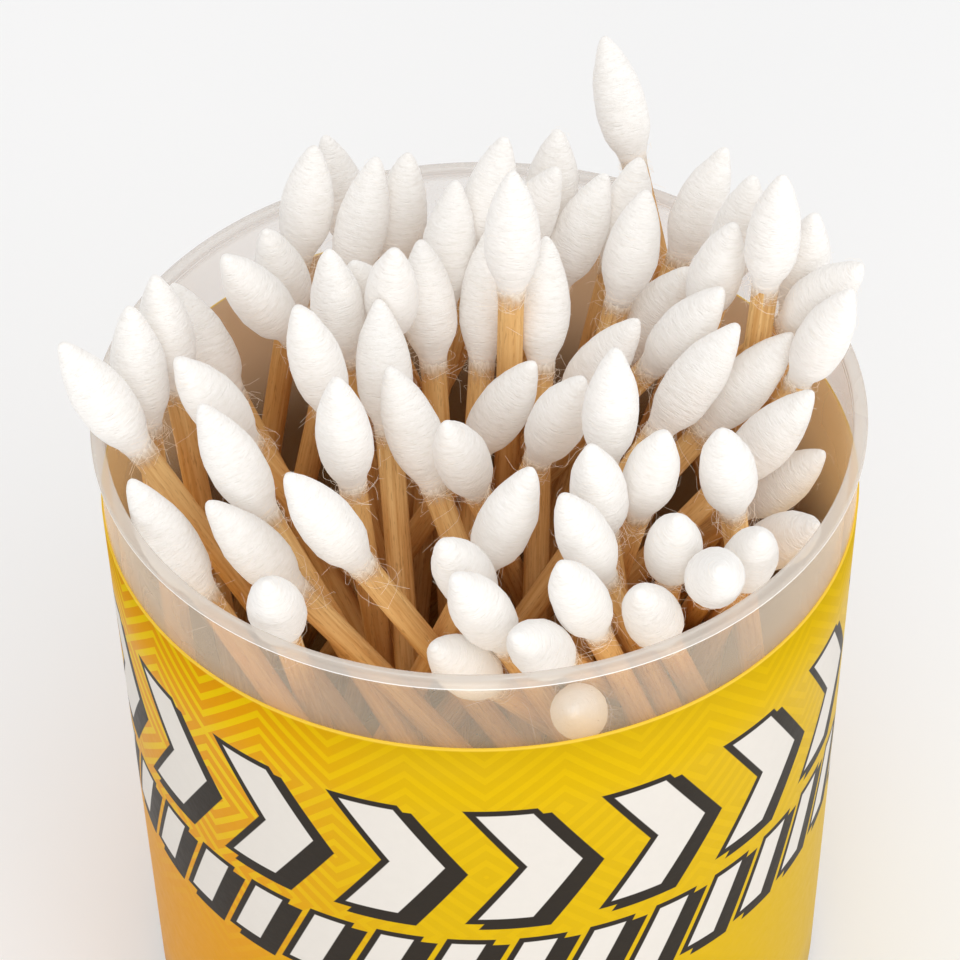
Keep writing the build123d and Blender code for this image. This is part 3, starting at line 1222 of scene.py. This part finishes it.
@dataclass
class Studio:
    """White floor, soft light and the camera; lengths in metres."""

    distance: float = 232.97 * MM
    elevation: float = math.radians(42.02)
    pitch: float = math.radians(43.64)
    roll: float = math.radians(-0.93)
    focal_px: float = 2912.0
    image_px: float = 960.0
    sensor_mm: float = 36.0
    near_clip: float = 10 * MM
    floor_half: float = 3.0
    floor_steps: int = 8
    sky: float = 0.81
    white: Colour = (1, 1, 1, 1)
    softboxes: tuple[Softbox, ...] = (
        Softbox("key", (0.05, -0.38, 0.55), 0.45, 0.55),
        Softbox("fill", (-0.12, -0.6, 0.14), 0.4, 0.88),
        Softbox("side", (0.44, -0.34, 0.2), 0.4, 0.75),
        Softbox("back", (0.0, 0.34, 0.56), 0.5, 0.32),
    )

    def camera(self) -> None:
        """Set the camera at the photograph's viewing angle."""
        lens = bpy.data.cameras.new("camera")
        lens.sensor_width = self.sensor_mm
        lens.lens = self.sensor_mm * self.focal_px / self.image_px
        lens.clip_start = self.near_clip
        level_reach = self.distance * math.cos(self.elevation)
        rise = self.distance * math.sin(self.elevation)
        eye = Vector((0, -level_reach, RIM_HEIGHT + rise))
        forward = Vector((0, math.cos(self.pitch), -math.sin(self.pitch)))
        level = Vector((1, 0, 0))
        upright = level.cross(forward)
        right = math.cos(self.roll) * level + math.sin(self.roll) * upright
        up = math.cos(self.roll) * upright - math.sin(self.roll) * level
        turn = Matrix((right, up, -forward)).transposed().to_4x4()
        stand = bpy.data.objects.new("camera", lens)
        stand.matrix_world = Matrix.Translation(eye) @ turn
        bpy.context.scene.collection.objects.link(stand)
        bpy.context.scene.camera = stand

    def floor(self, finish: StudioPaper) -> None:
        """Lay the studio floor."""
        shape = bmesh.new()
        steps = self.floor_steps
        bmesh.ops.create_grid(shape, x_segments=steps, y_segments=steps, size=self.floor_half)
        mesh = bpy.data.meshes.new("studio_floor")
        shape.to_mesh(mesh)
        shape.free()
        mesh.materials.append(finish.material())
        thing = bpy.data.objects.new("studio_floor", mesh)
        bpy.context.scene.collection.objects.link(thing)

    def light(self) -> None:
        """Light the tub with a white room and large soft lights."""
        world = bpy.data.worlds.new("white_room")
        world.use_nodes = True
        ground = next(node for node in world.node_tree.nodes if node.type == "BACKGROUND")
        ground.inputs["Color"].default_value = self.white
        ground.inputs["Strength"].default_value = self.sky
        bpy.context.scene.world = world
        for softbox in self.softboxes:
            softbox.hang(Vector((0, 0, RIM_HEIGHT)))
        bpy.context.scene.view_settings.view_transform = "Standard"

    def build(self, paper: StudioPaper) -> None:
        """Set up the whole studio."""
        self.camera()
        self.floor(paper)
        self.light()


def main() -> None:
    """Build every piece in order."""
    logging.basicConfig(level=logging.INFO, format="%(name)s: %(message)s")
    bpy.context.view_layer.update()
    swabs = read_swabs()
    log.info("%d swabs", len(swabs))
    Studio().build(StudioPaper())
    Tub().build(MilkyPlastic())
    Label().build(PrintedFilm(), FilmBack())
    cut = Swabs()
    # painted shade: the lower tips deep in the tub get a darker tan copy of the cotton, without
    # painted glow
    shaded = WoundCotton(
        name="shaded_cotton", white=tone(206, 182, 150), shade=tone(188, 162, 130), painted_glow=0.0
    )
    cut.build(swabs, BirchWood(), WoundCotton(), FrayedCotton(), shaded)
    LooseFibres().build(swabs, cut, LooseCotton())


if __name__ == "__main__":
    main()
